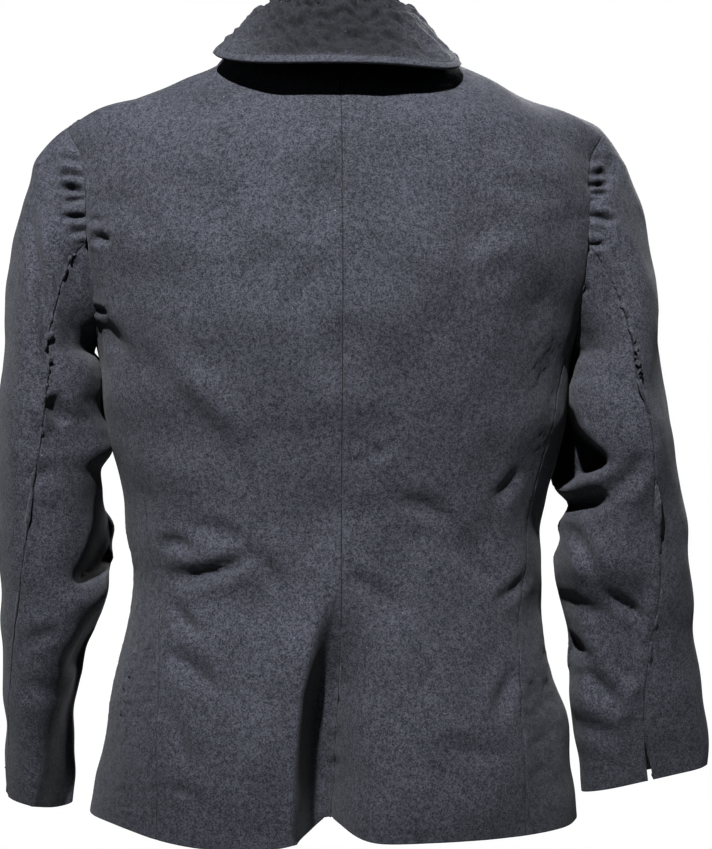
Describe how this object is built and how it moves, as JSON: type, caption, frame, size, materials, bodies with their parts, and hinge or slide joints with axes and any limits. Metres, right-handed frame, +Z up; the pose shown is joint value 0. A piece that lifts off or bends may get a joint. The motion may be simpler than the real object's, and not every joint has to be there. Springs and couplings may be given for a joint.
{
  "type": "blazer",
  "caption": "Fitted tailored blazer filled out as if worn: princess seams, notched collar and lapels, eased two-piece sleeves with open cuff vents, flared skirt with a soft back fold.",
  "frame": {"origin": "middle of the neck opening, level with the inner ends of the shoulder seams, where a wearer's shoulders hold the jacket", "axes": "+Z up along the body; the front faces -Y and the back +Y; +X is the wearer's left"},
  "size_m": [0.5517, 0.2839, 0.6267],
  "materials": {
    "suiting": "matt dark navy grey heathered suiting in a fine plain weave",
    "horn": "satin dark button"
  },
  "bodies": {
    "root": {"back_left": "suiting", "back_right": "suiting", "side_left": "suiting", "side_right": "suiting", "front_left": "suiting", "front_right": "suiting", "lapel_left": "suiting", "lapel_right": "suiting", "upper_sleeve_left": "suiting", "upper_sleeve_right": "suiting", "under_sleeve_left": "suiting", "under_sleeve_right": "suiting", "collar": "suiting", "button": "horn"}
  },
  "joints": []
}
